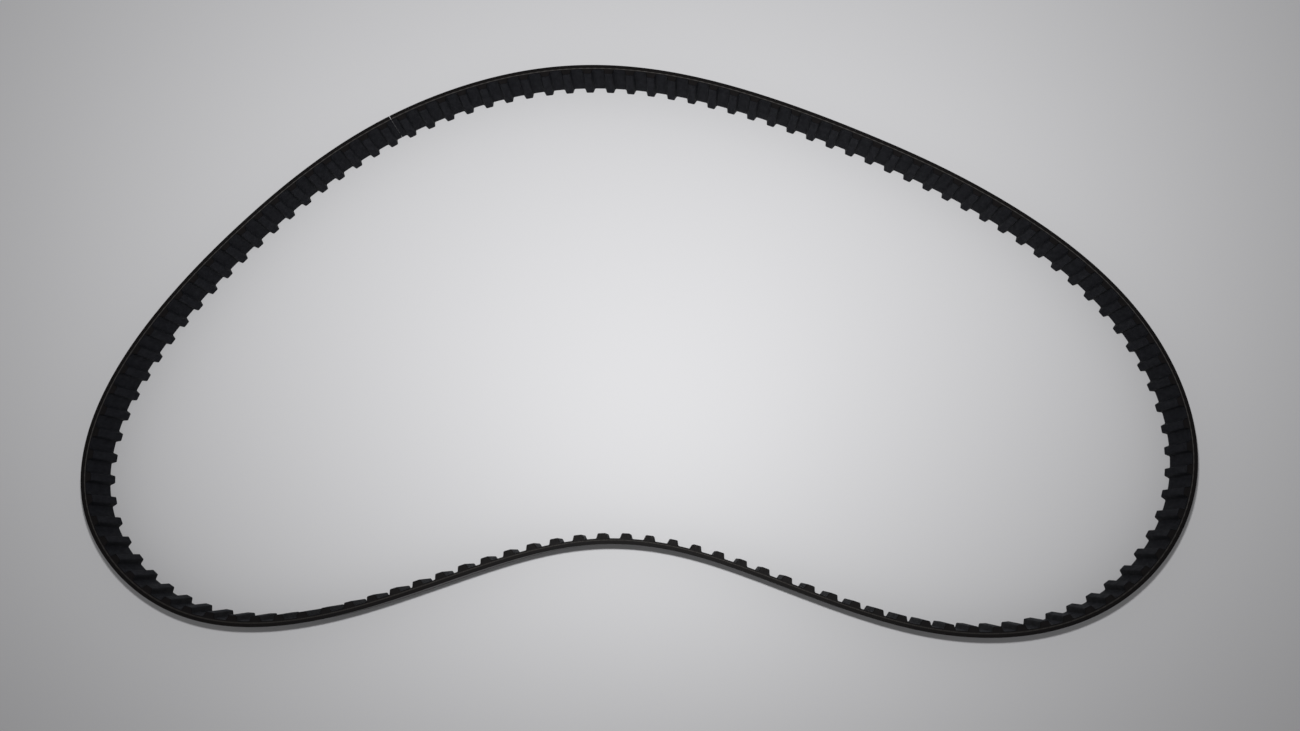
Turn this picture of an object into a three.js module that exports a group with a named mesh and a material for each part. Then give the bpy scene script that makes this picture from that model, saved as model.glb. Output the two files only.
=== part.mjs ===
// Timing belt: an endless toothed belt lying on its edge in a slack, bean-shaped loop.
// Units are millimetres and +Z is up. The belt runs counter-clockwise seen from above.
import * as THREE from "three";

// The belt's standard sizes
const TEETH = 121;
const PITCH = 9.525;
const WIDTH = 18;

// Depths measured from the pitch line towards the inside of the loop
const BACK_DEPTH = -1.7;
const CORD_HALF_THICKNESS = 0.3;
const LAND_DEPTH = 0.7;

// The layers are bonded face to face. Here they keep a hair of room, and the cord and the
// facing stop just short of the cut edges, so that the belt stands on its rubber.
const LAYER_GAP = 0.05;
const EDGE_RECESS = 0.05;

// One tooth, measured over its facing
const TOOTH_HEIGHT = 2.1;
const TOOTH_ROOT_WIDTH = 4.65;
const TOOTH_TIP_WIDTH = 3.2;
const FACING_THICKNESS = 0.15;

// How far a layer under a tooth's flank steps in, for each millimetre that it lies deeper
const FLANK_INSET = 0.72;

// The belt bends at every land. Here it is divided into equal spans with a hinge between them.
const SPANS = 11;
const SPAN_TEETH = TEETH / SPANS;
const SPAN_GAP = 0.5;

// Control points of the pitch line's route: a closed cubic B-spline
const ROUTE_POINTS = [
  [-29, 133], [-103.5, 112.5], [-162, 69.5], [-217.5, 12],
  [-236.5, -49.5], [-192, -101.5], [-121, -102.5], [-38, -74.5],
  [22, -81.5], [107, -131], [187, -129], [235.5, -74],
  [220, -1.5], [167.5, 50], [114.5, 83.5], [40.5, 121],
];

// The number of fine steps that the route is measured in
const ROUTE_STEPS = 4840;

// How far along the route the first span starts
const FIRST_LAND = 68.8;

// A point of the B-spline, with u running from 0 to the number of control points
function splinePoint(u) {
  const count = ROUTE_POINTS.length;
  const i = Math.floor(u);
  const t = u - i;
  const weights = [
    (1 - t) ** 3,
    3 * t ** 3 - 6 * t ** 2 + 4,
    -3 * t ** 3 + 3 * t ** 2 + 3 * t + 1,
    t ** 3,
  ];
  const point = new THREE.Vector2();
  weights.forEach((weight, k) => {
    const [x, y] = ROUTE_POINTS[(i - 1 + k + count) % count];
    point.x += (weight * x) / 6;
    point.y += (weight * y) / 6;
  });
  return point;
}

// The route as fine steps, scaled so that its length is exactly the belt's pitch length
function measureRoute() {
  const points = [];
  const lengths = [0];
  for (let i = 0; i <= ROUTE_STEPS; i += 1) {
    points.push(splinePoint(((i % ROUTE_STEPS) / ROUTE_STEPS) * ROUTE_POINTS.length));
    if (i > 0) lengths.push(lengths[i - 1] + points[i].distanceTo(points[i - 1]));
  }
  const scale = (TEETH * PITCH) / lengths[ROUTE_STEPS];
  points.forEach((point) => point.multiplyScalar(scale));
  return { points, lengths: lengths.map((length) => length * scale) };
}

const route = measureRoute();

// The pitch line's point and inward normal at a distance along the route
function routeFrame(distance) {
  const total = TEETH * PITCH;
  const wrapped = ((distance % total) + total) % total;
  const next = route.lengths.findIndex((length) => length > wrapped);
  const before = route.points[next - 1];
  const after = route.points[next];
  const stepLength = route.lengths[next] - route.lengths[next - 1];
  const point = before.clone().lerp(after, (wrapped - route.lengths[next - 1]) / stepLength);
  const direction = after.clone().sub(before).normalize();
  const inward = new THREE.Vector2(-direction.y, direction.x);
  return { point, inward };
}

// One frame in the middle of each land. The last one closes the loop.
const lands = [];
for (let i = 0; i <= TEETH; i += 1) lands.push(routeFrame(FIRST_LAND + i * PITCH));

// A point of the belt: lands passed, depth inward from the pitch line, height above the table
function beltPoint(along, depth, height) {
  const i = Math.min(Math.floor(along), TEETH - 1);
  const t = along - i;
  const [before, after] = [lands[i], lands[i + 1]].map(({ point, inward }) => {
    return point.clone().addScaledVector(inward, depth);
  });
  const { x, y } = before.lerp(after, t);
  return new THREE.Vector3(x, y, height);
}

// A solid band between two lines with the same number of [along, depth] points
function bandGeometry(outerLine, innerLine, bottom, top) {
  const positions = [];
  const indices = [];
  const quad = (a, b, c, d) => indices.push(a, b, c, a, c, d);
  outerLine.forEach((outer, i) => {
    const inner = innerLine[i];
    const corners = [[outer, bottom], [outer, top], [inner, bottom], [inner, top]];
    for (const [[along, depth], height] of corners) {
      positions.push(...beltPoint(along, depth, height).toArray());
    }
  });
  const last = 4 * (outerLine.length - 1);
  for (let a = 0; a < last; a += 4) {
    const b = a + 4;
    quad(a, b, b + 1, a + 1);
    quad(a + 2, a + 3, b + 3, b + 2);
    quad(a, a + 2, b + 2, b);
    quad(a + 1, b + 1, b + 3, a + 3);
  }
  quad(0, 1, 3, 2);
  quad(last, last + 2, last + 3, last + 1);
  const geometry = new THREE.BufferGeometry();
  geometry.setAttribute("position", new THREE.Float32BufferAttribute(positions, 3));
  geometry.setIndex(indices);
  geometry.computeVertexNormals();
  return geometry;
}

// The two ends of a span, counted in lands, with half of the gap left off at each end
function spanEnds(span) {
  const halfGap = SPAN_GAP / 2 / PITCH;
  return [span * SPAN_TEETH + halfGap, (span + 1) * SPAN_TEETH - halfGap];
}

// A line at one depth with a point at each land
function plainLine(span, depth) {
  const [start, end] = spanEnds(span);
  const line = [[start, depth]];
  for (let i = 1; i < SPAN_TEETH; i += 1) line.push([span * SPAN_TEETH + i, depth]);
  line.push([end, depth]);
  return line;
}

// A line that follows the teeth, some way below their surface: four corners on each tooth
function toothedLine(span, below) {
  const landDepth = LAND_DEPTH - below;
  const tipDepth = landDepth + TOOTH_HEIGHT;
  const root = (TOOTH_ROOT_WIDTH / 2 - FLANK_INSET * below) / PITCH;
  const tip = (TOOTH_TIP_WIDTH / 2 - FLANK_INSET * below) / PITCH;
  const line = [];
  plainLine(span, landDepth).forEach((point, i) => {
    line.push(point);
    if (i === SPAN_TEETH) return;
    const middle = span * SPAN_TEETH + i + 0.5;
    line.push([middle - root, landDepth], [middle - tip, tipDepth]);
    line.push([middle + tip, tipDepth], [middle + root, landDepth]);
  });
  return line;
}

function backingGeometry(span) {
  const inner = plainLine(span, -CORD_HALF_THICKNESS - LAYER_GAP);
  return bandGeometry(plainLine(span, BACK_DEPTH), inner, 0, WIDTH);
}

function cordGeometry(span) {
  const outer = plainLine(span, -CORD_HALF_THICKNESS);
  const inner = plainLine(span, CORD_HALF_THICKNESS);
  return bandGeometry(outer, inner, EDGE_RECESS, WIDTH - EDGE_RECESS);
}

function toothRubberGeometry(span) {
  const teeth = toothedLine(span, FACING_THICKNESS + LAYER_GAP);
  const root = teeth.map(([along]) => [along, CORD_HALF_THICKNESS + LAYER_GAP]);
  return bandGeometry(root, teeth, 0, WIDTH);
}

function facingGeometry(span) {
  const underside = toothedLine(span, FACING_THICKNESS);
  return bandGeometry(underside, toothedLine(span, 0), EDGE_RECESS, WIDTH - EDGE_RECESS);
}

const LAYERS = [
  { name: "backing", build: backingGeometry, color: 0x1c1b1c, roughness: 0.55 },
  { name: "cord_layer", build: cordGeometry, color: 0x5a4636, roughness: 0.7 },
  { name: "tooth_rubber", build: toothRubberGeometry, color: 0x171719, roughness: 0.6 },
  { name: "tooth_facing", build: facingGeometry, color: 0x20242c, roughness: 0.75 },
];

const belt = new THREE.Group();
for (let span = 0; span < SPANS; span += 1) {
  const group = new THREE.Group();
  const number = String(span + 1).padStart(2, "0");
  for (const { name, build, color, roughness } of LAYERS) {
    const material = new THREE.MeshStandardMaterial({ color, roughness, metalness: 0 });
    const mesh = new THREE.Mesh(build(span), material);
    mesh.name = `${name}_${number}`;
    group.add(mesh);
  }
  belt.add(group);
}

export default belt;
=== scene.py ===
import bpy
import numpy as np
from mathutils import Matrix, Vector


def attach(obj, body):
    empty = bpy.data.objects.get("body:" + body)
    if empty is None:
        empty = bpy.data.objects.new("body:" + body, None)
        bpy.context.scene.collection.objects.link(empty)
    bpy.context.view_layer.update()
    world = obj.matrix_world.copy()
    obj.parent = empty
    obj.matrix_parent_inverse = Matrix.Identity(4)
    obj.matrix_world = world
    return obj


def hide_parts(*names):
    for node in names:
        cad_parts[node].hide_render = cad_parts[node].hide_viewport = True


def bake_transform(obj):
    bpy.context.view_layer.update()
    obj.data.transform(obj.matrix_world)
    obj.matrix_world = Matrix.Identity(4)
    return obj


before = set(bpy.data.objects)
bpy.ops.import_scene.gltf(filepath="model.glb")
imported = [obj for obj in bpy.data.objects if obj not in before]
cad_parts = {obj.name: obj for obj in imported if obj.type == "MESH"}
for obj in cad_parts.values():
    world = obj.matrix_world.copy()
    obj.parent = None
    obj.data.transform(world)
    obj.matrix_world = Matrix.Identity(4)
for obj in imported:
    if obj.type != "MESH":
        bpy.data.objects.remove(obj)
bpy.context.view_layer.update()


# ---------------------------------------------------------------------------------------------
# Backing. The smooth outer body of the belt: black rubber, moulded over the cord and then
# ground flat on its back. Both edges are cut with a knife when the belt is sliced from its
# sleeve. It is one piece in the real belt, and here it is made in lengths.
# ---------------------------------------------------------------------------------------------
MM = 0.001
TEETH = 121
PITCH = 9.525
WIDTH = 18.0

# The smooth back is 0.1 mm inside the CAD's, whose flat facets don't reach as far out everywhere
BACK_DEPTH = -1.6
CORD_HALF_THICKNESS = 0.3
SPANS = 11
SPAN_TEETH = TEETH // SPANS

# The pitch line's route as the CAD part has it: control points of a closed cubic B-spline, in mm
ROUTE_POINTS = np.array([
    (-29, 133), (-103.5, 112.5), (-162, 69.5), (-217.5, 12),
    (-236.5, -49.5), (-192, -101.5), (-121, -102.5), (-38, -74.5),
    (22, -81.5), (107, -131), (187, -129), (235.5, -74),
    (220, -1.5), (167.5, 50), (114.5, 83.5), (40.5, 121),
])
ROUTE_STEPS = 4840
FIRST_LAND = 68.8


def spline_points(u):
    """Points of the closed B-spline at u, which runs from 0 to the number of control points."""
    count = len(ROUTE_POINTS)
    i = np.floor(u).astype(int)
    t = u - i
    weights = ((1 - t) ** 3, 3 * t**3 - 6 * t**2 + 4, -3 * t**3 + 3 * t**2 + 3 * t + 1, t**3)
    return sum(w[:, None] * ROUTE_POINTS[(i - 1 + k) % count] for k, w in enumerate(weights)) / 6


def measure_route():
    """The route's fine points, inward normals and distances, scaled to the belt's pitch length."""
    u = np.arange(ROUTE_STEPS) / ROUTE_STEPS * len(ROUTE_POINTS)
    points = spline_points(u)
    steps = np.linalg.norm(np.roll(points, -1, axis=0) - points, axis=1)
    scale = TEETH * PITCH / steps.sum()
    along = np.roll(points, -1, axis=0) - np.roll(points, 1, axis=0)
    along /= np.linalg.norm(along, axis=1)[:, None]
    inward = np.stack([-along[:, 1], along[:, 0]], axis=1)
    distances = np.concatenate([[0], np.cumsum(steps)[:-1]]) * scale
    return points * scale, inward, distances


route_points, route_inward, route_distances = measure_route()


def belt_points(lands, depth, height):
    """Places on the belt in metres. lands counts the lands passed along the belt. depth is inward
    from the pitch line and height is above the table, both in mm."""
    lands, depth, height = np.broadcast_arrays(lands, depth, height)
    distance = np.mod(FIRST_LAND + lands * PITCH, TEETH * PITCH)

    def on_route(values):
        return np.interp(distance, route_distances, values, period=TEETH * PITCH)

    x = on_route(route_points[:, 0]) + on_route(route_inward[:, 0]) * depth
    y = on_route(route_points[:, 1]) + on_route(route_inward[:, 1]) * depth
    return np.stack([x, y, height], axis=-1) * MM


# The loop is open at one pivot, where the two end faces meet. They are cut back a little, more
# and more away from the pitch line, so that they don't press into each other as the loop bends.
SEAM_CLEARANCE = 0.06
SEAM_RELIEF = np.radians(3.4)


def cut_back_ends(lands, depths):
    """Moves the places at the two end faces back along the belt."""
    cut = (SEAM_CLEARANCE + np.abs(depths) * np.tan(SEAM_RELIEF)) / PITCH
    return lands[:, None] + cut * (lands == 0)[:, None] - cut * (lands == TEETH)[:, None]


def sweep(name, lands, section, travelled, face_slots):
    """A closed band whose section changes along the belt. lands has one value for each station,
    section is (station, corner, 2) of depth and height, and travelled is a length in mm."""
    stations, corners = section.shape[:2]
    along = cut_back_ends(lands, section[..., 0])
    places = belt_points(along, section[..., 0], section[..., 1]).reshape(-1, 3)
    girth = np.linalg.norm(np.diff(section[0], axis=0, append=section[0][:1]), axis=1)
    across = np.concatenate([[0], np.cumsum(girth)])
    faces, uvs, slots = [], [], []
    for i in range(stations - 1):
        a, b = i * corners, (i + 1) * corners
        for k in range(corners):
            n = (k + 1) % corners
            faces.append((a + k, b + k, b + n, a + n))
            uvs += [(travelled[i], across[k]), (travelled[i + 1], across[k])]
            uvs += [(travelled[i + 1], across[k + 1]), (travelled[i], across[k + 1])]
            slots.append(face_slots[k])
    for at, turn in ((0, 1), (stations - 1, -1)):
        ring = list(range(corners))[::turn]
        faces.append(tuple(at * corners + k for k in ring))
        uvs += [(travelled[at] + section[at, k, 0], section[at, k, 1]) for k in ring]
        slots.append(0)
    mesh = bpy.data.meshes.new(name)
    mesh.from_pydata([tuple(p) for p in places], [], faces)
    layer = mesh.uv_layers.new(name="belt")
    layer.data.foreach_set("uv", (np.array(uvs, dtype=np.float32) * MM).ravel())
    mesh.polygons.foreach_set("material_index", slots)
    mesh.shade_smooth()
    mesh.set_sharp_from_angle(angle=np.radians(34))
    piece = bpy.data.objects.new(name, mesh)
    bpy.context.scene.collection.objects.link(piece)
    return piece


# Each length of a layer runs from mid-span to mid-span across one hinge. The two spans at the
# open pivot have a half length each, and those two meet end to end.
SEAM_LAND = 5
BEND_REACH = 3.5


def lengths():
    """Yields (suffix, first land, last land, the spans it touches) for each length of a layer."""
    yield "end_01", 0, SEAM_LAND, (1,)
    for span in range(1, SPANS):
        start = (span - 1) * SPAN_TEETH + SEAM_LAND
        yield f"{span:02d}_{span + 1:02d}", start, start + SPAN_TEETH, (span, span + 1)
    yield "end_11", TEETH - SPAN_TEETH + SEAM_LAND, TEETH, (SPANS,)


def fit_to_spans(piece, layer, spans):
    """Rides a one-span length on its span, bakes a hinge length in place; hides the CAD solids."""
    if len(spans) == 1:
        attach(piece, f"span_{spans[0]:02d}")
    else:
        hinge = spans[0] * SPAN_TEETH
        start, end = belt_points(np.array([hinge - BEND_REACH, hinge + BEND_REACH]), 0, 0)
        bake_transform(piece)
    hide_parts(*[f"{layer}_{span:02d}" for span in spans])


def material(name):
    """A new material, with its node tree and its main shader."""
    made = bpy.data.materials.new(name)
    made.use_nodes = True
    return made, made.node_tree, made.node_tree.nodes["Principled BSDF"]


def belt_coordinates(tree, stretch):
    """Texture coordinates in metres along and across the belt, stretched along it."""
    uv = tree.nodes.new("ShaderNodeUVMap")
    uv.uv_map = "belt"
    scaled = tree.nodes.new("ShaderNodeMapping")
    scaled.inputs["Scale"].default_value = (stretch, 1, 1)
    tree.links.new(uv.outputs["UV"], scaled.inputs["Vector"])
    return scaled.outputs["Vector"]


def noise(tree, place, per_metre, detail, roughness=0.5):
    """A noise texture's value at a place."""
    node = tree.nodes.new("ShaderNodeTexNoise")
    node.inputs["Scale"].default_value = per_metre
    node.inputs["Detail"].default_value = detail
    node.inputs["Roughness"].default_value = roughness
    tree.links.new(place, node.inputs["Vector"])
    return node.outputs["Fac"]


def ramp(tree, value, low, high, start=0.3, end=0.7):
    """Blends from one colour or grey to another as a value goes from start to end."""
    node = tree.nodes.new("ShaderNodeValToRGB")
    for element, at, colour in zip(node.color_ramp.elements, (start, end), (low, high)):
        element.position = at
        element.color = (*colour, 1) if isinstance(colour, tuple) else (colour,) * 3 + (1,)
    tree.links.new(value, node.inputs["Fac"])
    return node.outputs["Color"]


def bump(tree, height, distance, strength=1.0, below=None):
    """A bump of a real height in metres, on top of another bump if one is given."""
    node = tree.nodes.new("ShaderNodeBump")
    node.inputs["Strength"].default_value = strength
    node.inputs["Distance"].default_value = distance
    tree.links.new(height, node.inputs["Height"])
    if below is not None:
        tree.links.new(below, node.inputs["Normal"])
    return node.outputs["Normal"]


def ground_rubber():
    """The back's satin finish: fine grinding lines along the belt, over a faint mottle."""
    made, tree, shader = material("ground backing rubber")
    grain = noise(tree, belt_coordinates(tree, 0.12), 5200, 4, 0.6)
    mottle = noise(tree, belt_coordinates(tree, 0.5), 140, 3)
    colour = ramp(tree, mottle, (0.0040, 0.0040, 0.0044), (0.0070, 0.0068, 0.0072))
    tree.links.new(colour, shader.inputs["Base Color"])
    tree.links.new(ramp(tree, grain, 0.40, 0.58), shader.inputs["Roughness"])
    tree.links.new(bump(tree, grain, 0.00004), shader.inputs["Normal"])
    shader.inputs["Specular IOR Level"].default_value = 0.2
    return made


def cut_rubber():
    """A knife-cut edge: matt, a little brown, with drag lines along the cut and fine pits."""
    made, tree, shader = material("cut rubber edge")
    drag = noise(tree, belt_coordinates(tree, 0.05), 6000, 3, 0.55)
    pits = noise(tree, belt_coordinates(tree, 1.0), 4200, 2)
    colour = ramp(tree, drag, (0.0028, 0.0022, 0.0023), (0.0058, 0.0046, 0.0049))
    tree.links.new(colour, shader.inputs["Base Color"])
    tree.links.new(ramp(tree, pits, 0.52, 0.74), shader.inputs["Roughness"])
    lines = bump(tree, drag, 0.00003)
    tree.links.new(bump(tree, pits, 0.00003, below=lines), shader.inputs["Normal"])
    shader.inputs["Specular IOR Level"].default_value = 0.14
    return made


WORN_EDGE_RADIUS = 0.14
WORN_EDGE_POINTS = 4


def backing_section():
    """The backing's outline across the belt, as (depth, height), with slightly worn back edges."""
    worn = WORN_EDGE_RADIUS
    turns = np.linspace(0, np.pi / 2, WORN_EDGE_POINTS)
    lower = [(BACK_DEPTH + worn * (1 - np.sin(t)), worn * (1 - np.cos(t))) for t in turns]
    upper = [(depth, WIDTH - height) for depth, height in reversed(lower)]
    inner = -CORD_HALF_THICKNESS
    return [(inner, 0.0), *lower, *upper, (inner, WIDTH)]


BACKING_STEPS = 8
edge_rubber = cut_rubber()
backing_rubber = ground_rubber()
for suffix, first, last, spans in lengths():
    outline = backing_section()
    lands = np.linspace(first, last, (last - first) * BACKING_STEPS + 1)
    section = np.tile(np.array(outline), (len(lands), 1, 1))
    cut_faces = (0, len(outline) - 2)
    slots = [1 if k in cut_faces else 0 for k in range(len(outline))]
    backing = sweep(f"backing_{suffix}", lands, section, lands * PITCH, slots)
    backing.data.materials.append(backing_rubber)
    backing.data.materials.append(edge_rubber)
    fit_to_spans(backing, "backing", spans)


# ---------------------------------------------------------------------------------------------
# Tensile cord. One twisted glass-fibre cord, dipped brown and wound side by side across the
# width at the pitch line. Only the turn that the knife laid bare shows, as a thin line between
# the backing and the teeth on each cut edge, so the turns between are one band.
# ---------------------------------------------------------------------------------------------
TWIST_LENGTH = 3.2
TWIST_HEIGHT = 0.07
CORD_STEPS = 16
CORD_RECESS = 0.06
CORD_CROWN = 0.12


def dipped_cord():
    """Brown, dull glass strands lying at the angle of the twist."""
    made, tree, shader = material("dipped glass cord")
    place = belt_coordinates(tree, 1.0)
    turned = tree.nodes.new("ShaderNodeMapping")
    turned.inputs["Rotation"].default_value = (0, 0, np.radians(22))
    tree.links.new(place, turned.inputs["Vector"])
    strands = tree.nodes.new("ShaderNodeTexWave")
    strands.inputs["Scale"].default_value = 420
    strands.inputs["Distortion"].default_value = 2.5
    strands.inputs["Detail"].default_value = 2
    tree.links.new(turned.outputs["Vector"], strands.inputs["Vector"])
    colour = ramp(tree, strands.outputs["Fac"], (0.0070, 0.0055, 0.0048), (0.0190, 0.0150, 0.0125))
    tree.links.new(colour, shader.inputs["Base Color"])
    tree.links.new(bump(tree, strands.outputs["Fac"], 0.00004), shader.inputs["Normal"])
    shader.inputs["Roughness"].default_value = 0.62
    return made


cord_finish = dipped_cord()
for suffix, first, last, spans in lengths():
    lands = np.linspace(first, last, (last - first) * CORD_STEPS + 1)
    twist = np.sin(2 * np.pi * lands * PITCH / TWIST_LENGTH)
    reach = CORD_HALF_THICKNESS
    rows = []
    flat = CORD_CROWN
    for depth, drop in ((reach, CORD_CROWN), (flat, 0.0), (-flat, 0.0), (-reach, CORD_CROWN)):
        swell = TWIST_HEIGHT / 2 * twist * np.sign(depth)
        rows.append((depth, CORD_RECESS + drop - swell))
    low = [np.stack([np.full_like(lands, depth), height], axis=1) for depth, height in rows]
    high = [np.stack([row[:, 0], WIDTH - row[:, 1]], axis=1) for row in reversed(low)]
    section = np.stack(low + high, axis=1)
    slots = [0] * section.shape[1]
    cord = sweep(f"cord_{suffix}", lands, section, lands * PITCH, slots)
    cord.data.materials.append(cord_finish)
    fit_to_spans(cord, "cord_layer", spans)


# ---------------------------------------------------------------------------------------------
# Tooth rubber. The moulded trapezoidal teeth and the thin web between the cord and the facing.
# Its cut ends show on both edges of the belt, one tooth end for each tooth.
# ---------------------------------------------------------------------------------------------
LAND_DEPTH = 0.7
TOOTH_HEIGHT = 2.1
TOOTH_ROOT_WIDTH = 4.65
TOOTH_TIP_WIDTH = 3.2
FACING_THICKNESS = 0.15
FLANK_INSET = 0.72
ROOT_RADIUS = 0.55
TIP_RADIUS = 0.6
ARC_STEPS = 4
LAND_FLAT = 0.9


def rounded_corner(before, corner, after, radius):
    """Points of the arc that rounds a corner between two straight runs."""
    before, corner, after = map(np.array, (before, corner, after))
    back = (before - corner) / np.linalg.norm(before - corner)
    on = (after - corner) / np.linalg.norm(after - corner)
    half = np.arccos(np.clip(back @ on, -1, 1)) / 2
    middle = (back + on) / np.linalg.norm(back + on)
    centre = corner + middle * radius / np.sin(half)
    start = corner + back * radius / np.tan(half) - centre
    end = corner + on * radius / np.tan(half) - centre
    sweep_angle = np.pi - 2 * half
    arc = []
    for t in np.linspace(0, 1, ARC_STEPS + 1):
        mixed = start * np.sin((1 - t) * sweep_angle) + end * np.sin(t * sweep_angle)
        arc.append(tuple(centre + mixed / np.sin(sweep_angle)))
    return arc


def tooth_line(below):
    """One tooth from land middle to land middle, some way below its surface, as (mm, depth)."""
    land = LAND_DEPTH - below
    tip = land + TOOTH_HEIGHT
    root_half = TOOTH_ROOT_WIDTH / 2 - FLANK_INSET * below
    tip_half = TOOTH_TIP_WIDTH / 2 - FLANK_INSET * below
    start = (-PITCH / 2, land)
    root = (-root_half, land)
    crest = (-tip_half, tip)
    rising = [start, (-PITCH / 2 + LAND_FLAT, land)]
    rising += rounded_corner(start, root, crest, ROOT_RADIUS + below)
    rising += rounded_corner(root, crest, (0, tip), max(TIP_RADIUS - below, 0.1))
    falling = [(-x, depth) for x, depth in reversed(rising)]
    return np.array(rising + [(0, tip)] + falling)


def tooth_surface_length(below):
    """The length of one tooth's outline, from land middle to land middle."""
    return np.hypot(*np.diff(tooth_line(below), axis=0).T).sum()


def toothed_line(first, last, below):
    """The teeth between two lands, as (lands, depth), with the surface length travelled."""
    tooth = tooth_line(below)
    lands, depths = [], []
    for land in range(first, last):
        keep = tooth if land == first else tooth[1:]
        lands += list(land + 0.5 + keep[:, 0] / PITCH)
        depths += list(keep[:, 1])
    lands, depths = np.array(lands), np.array(depths)
    steps = np.hypot(np.diff(lands) * PITCH, np.diff(depths))
    travelled = first * tooth_surface_length(below) + np.concatenate([[0], np.cumsum(steps)])
    return lands, depths, travelled


def band_section(deep, shallow, low, high):
    """Four corners at each station: down the deep side, across and up the shallow side."""
    low, high = np.full_like(deep, low), np.full_like(deep, high)
    corners = ((deep, low), (shallow, low), (shallow, high), (deep, high))
    return np.stack([np.stack(corner, axis=1) for corner in corners], axis=1)


for suffix, first, last, spans in lengths():
    lands, depths, _ = toothed_line(first, last, FACING_THICKNESS)
    base = np.full_like(depths, CORD_HALF_THICKNESS)
    section = band_section(depths, base, 0.0, WIDTH)
    teeth = sweep(f"teeth_{suffix}", lands, section, lands * PITCH, [0] * 4)
    teeth.data.materials.append(edge_rubber)
    fit_to_spans(teeth, "tooth_rubber", spans)


# ---------------------------------------------------------------------------------------------
# Tooth facing. A stretch-woven nylon fabric, dipped blue-black, which the mould presses over
# every tooth and land. It is cut flush with the rubber, so its edge shows as a thin dark line.
# ---------------------------------------------------------------------------------------------
FACING_RECESS = 0.03

# Greys that the dye is multiplied by, from a land's middle to a crest's middle. They are painted
# shade: the flanks are painted darker than the crests and the lands, as if in shade, to set the teeth
# off.
PAINTED_FLANK_SHADES = ((0.00, 0.95), (0.34, 0.80), (0.44, 0.38), (0.66, 0.34), (0.78, 0.90), (1.00, 1.0))


def painted_flank_shade(tree):
    """Painted shade: a grey along the belt that repeats with each tooth, darkest on the flanks."""
    uv = tree.nodes.new("ShaderNodeUVMap")
    uv.uv_map = "belt"
    parts = tree.nodes.new("ShaderNodeSeparateXYZ")
    tree.links.new(uv.outputs["UV"], parts.inputs["Vector"])
    half_tooth = tooth_surface_length(0) / 2 * MM
    swing = tree.nodes.new("ShaderNodeMath")
    swing.operation = "PINGPONG"
    swing.inputs[1].default_value = half_tooth
    tree.links.new(parts.outputs["X"], swing.inputs[0])
    share = tree.nodes.new("ShaderNodeMath")
    share.operation = "DIVIDE"
    share.inputs[1].default_value = half_tooth
    tree.links.new(swing.outputs["Value"], share.inputs[0])
    painted_shade_ramp = tree.nodes.new("ShaderNodeValToRGB")
    stops = painted_shade_ramp.color_ramp.elements
    while len(stops) < len(PAINTED_FLANK_SHADES):
        stops.new(0.5)
    for stop, (at, grey) in zip(stops, PAINTED_FLANK_SHADES):
        stop.position = at
        stop.color = (grey, grey, grey, 1)
    tree.links.new(share.outputs["Value"], painted_shade_ramp.inputs["Fac"])
    return painted_shade_ramp.outputs["Color"]


def facing_weave():
    """Twill of fine nylon yarn: ribs across the belt, crossed by finer yarn along it."""
    made, tree, shader = material("woven nylon facing")
    place = belt_coordinates(tree, 1.0)
    across = tree.nodes.new("ShaderNodeTexWave")
    across.inputs["Scale"].default_value = 780
    across.inputs["Distortion"].default_value = 0.6
    tree.links.new(place, across.inputs["Vector"])
    turned = tree.nodes.new("ShaderNodeMapping")
    turned.inputs["Rotation"].default_value = (0, 0, np.radians(64))
    tree.links.new(place, turned.inputs["Vector"])
    twill = tree.nodes.new("ShaderNodeTexWave")
    twill.inputs["Scale"].default_value = 560
    twill.inputs["Distortion"].default_value = 0.8
    tree.links.new(turned.outputs["Vector"], twill.inputs["Vector"])
    wear = noise(tree, belt_coordinates(tree, 2.0), 260, 4, 0.6)
    dye = ramp(tree, wear, (0.0026, 0.0029, 0.0048), (0.0048, 0.0054, 0.0088))
    # The dye is multiplied by painted shade, which is darker on the tooth flanks.
    painted_shade_mix = tree.nodes.new("ShaderNodeMix")
    painted_shade_mix.data_type = "RGBA"
    painted_shade_mix.blend_type = "MULTIPLY"
    painted_shade_mix.inputs["Factor"].default_value = 1.0
    tree.links.new(dye, painted_shade_mix.inputs["A"])
    tree.links.new(painted_flank_shade(tree), painted_shade_mix.inputs["B"])
    tree.links.new(painted_shade_mix.outputs["Result"], shader.inputs["Base Color"])
    tree.links.new(ramp(tree, wear, 0.72, 0.56), shader.inputs["Roughness"])
    ribs = bump(tree, across.outputs["Fac"], 0.00003)
    tree.links.new(bump(tree, twill.outputs["Fac"], 0.00004, below=ribs), shader.inputs["Normal"])
    shader.inputs["Specular IOR Level"].default_value = 0.08
    shader.inputs["Sheen Weight"].default_value = 0.01
    shader.inputs["Sheen Roughness"].default_value = 0.4
    shader.inputs["Sheen Tint"].default_value = (0.6, 0.68, 0.9, 1)
    return made


nylon = facing_weave()
for suffix, first, last, spans in lengths():
    lands, depths, travelled = toothed_line(first, last, 0)
    under_lands, under_depths, _ = toothed_line(first, last, FACING_THICKNESS)
    section = band_section(depths, under_depths, FACING_RECESS, WIDTH - FACING_RECESS)
    facing = sweep(f"facing_{suffix}", lands, section, travelled, [0] * 4)
    facing.data.materials.append(nylon)
    fit_to_spans(facing, "tooth_facing", spans)


# ---------------------------------------------------------------------------------------------
# Table, light and camera. The belt lies on its lower edge on a pale table, under two small lamps
# in an evenly lit room. The camera looks almost straight down, a little from the near side. The
# table is a hair lower than the belt, so that the two never share a plane.
# ---------------------------------------------------------------------------------------------
TABLE_SIZE = 30.0
TABLE_HEIGHT = -0.00002


def table_finish():
    """A plain pale finish."""
    made, _, shader = material("pale table")
    shader.inputs["Base Color"].default_value = (0.72, 0.72, 0.735, 1)
    shader.inputs["Roughness"].default_value = 0.55
    return made


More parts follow.
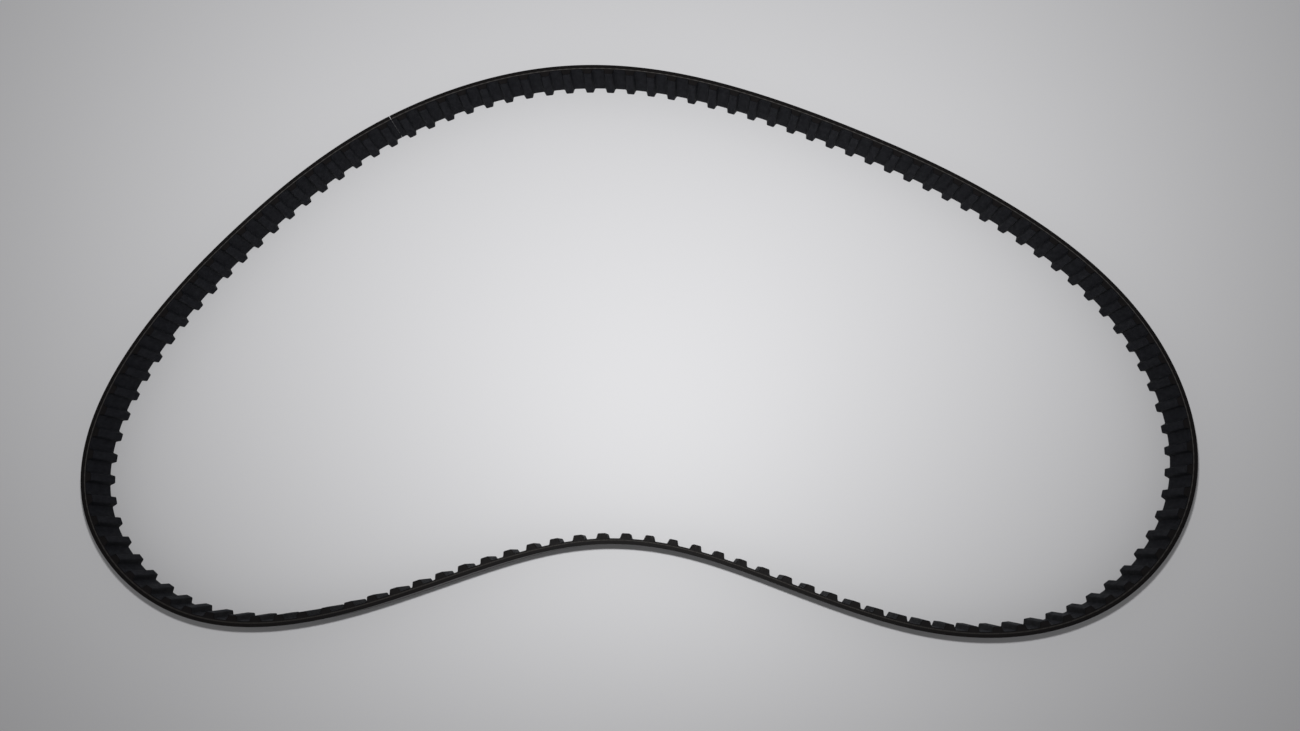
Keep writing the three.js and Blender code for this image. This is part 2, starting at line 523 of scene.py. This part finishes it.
table_mesh = bpy.data.meshes.new("table")
half = TABLE_SIZE / 2
corners = [(x, y, TABLE_HEIGHT) for x, y in ((-half, -half), (half, -half), (half, half), (-half, half))]
table_mesh.from_pydata(corners, [], [(0, 1, 2, 3)])
table = bpy.data.objects.new("table", table_mesh)
table_mesh.materials.append(table_finish())
bpy.context.scene.collection.objects.link(table)


# Two small lamps share one place beside the camera, a little to the far side. The bare one
# lights the whole table and the hooded one adds a pool of light, and both throw the same narrow
# shadow on the near side of the belt. A dim white room fills in the rest.
LAMP_PLACE = Vector((0.0085, -0.0373, 0.4152))
LAMP_RADIUS = 0.008
HOOD_AIM = Vector((0.013, 0.20, 0.0))
HOOD_CONE = np.radians(126)


def hang_lamp(name, kind, watts):
    """A small lamp in the lamps' place, turned the way that the hood points."""
    data = bpy.data.lights.new(name, kind)
    data.energy = watts
    data.shadow_soft_size = LAMP_RADIUS
    lamp = bpy.data.objects.new(name, data)
    lamp.location = LAMP_PLACE
    lamp.rotation_euler = (HOOD_AIM - LAMP_PLACE).to_track_quat("-Z", "Y").to_euler()
    bpy.context.scene.collection.objects.link(lamp)
    return data


hang_lamp("bare lamp", "POINT", 1.45)
hooded = hang_lamp("hooded lamp", "SPOT", 4.4)
hooded.spot_size = HOOD_CONE
hooded.spot_blend = 1.0

world = bpy.data.worlds.new("room")
world.use_nodes = True
world.node_tree.nodes["Background"].inputs["Color"].default_value = (1.0, 0.995, 1.0, 1)
world.node_tree.nodes["Background"].inputs["Strength"].default_value = 0.20
bpy.context.scene.world = world
bpy.context.scene.view_settings.view_transform = "Standard"

# The camera stands this far from the point that it looks at, tilted and slightly rolled
CAMERA_AIM = Vector((0.0088, -0.0055, 0.0))
CAMERA_DISTANCE = 0.423
CAMERA_TILT = np.radians(10.96)
CAMERA_ROLL = np.radians(-4.70)
CAMERA_LENS = 26.85

camera = bpy.data.objects.new("camera", bpy.data.cameras.new("camera"))
camera.data.lens = CAMERA_LENS
camera.data.sensor_width = 36.0
camera.data.clip_start = 0.01
back = Vector((0, -np.sin(CAMERA_TILT), np.cos(CAMERA_TILT)))
level = Matrix.Rotation(CAMERA_TILT, 4, "X")
camera.matrix_world = (
    Matrix.Translation(CAMERA_AIM + back * CAMERA_DISTANCE)
    @ level
    @ Matrix.Rotation(CAMERA_ROLL, 4, "Z")
)
bpy.context.scene.collection.objects.link(camera)
bpy.context.scene.camera = camera


# ---------------------------------------------------------------------------------------------
# Last, the scene is brought up to date.
# ---------------------------------------------------------------------------------------------
bpy.context.view_layer.update()
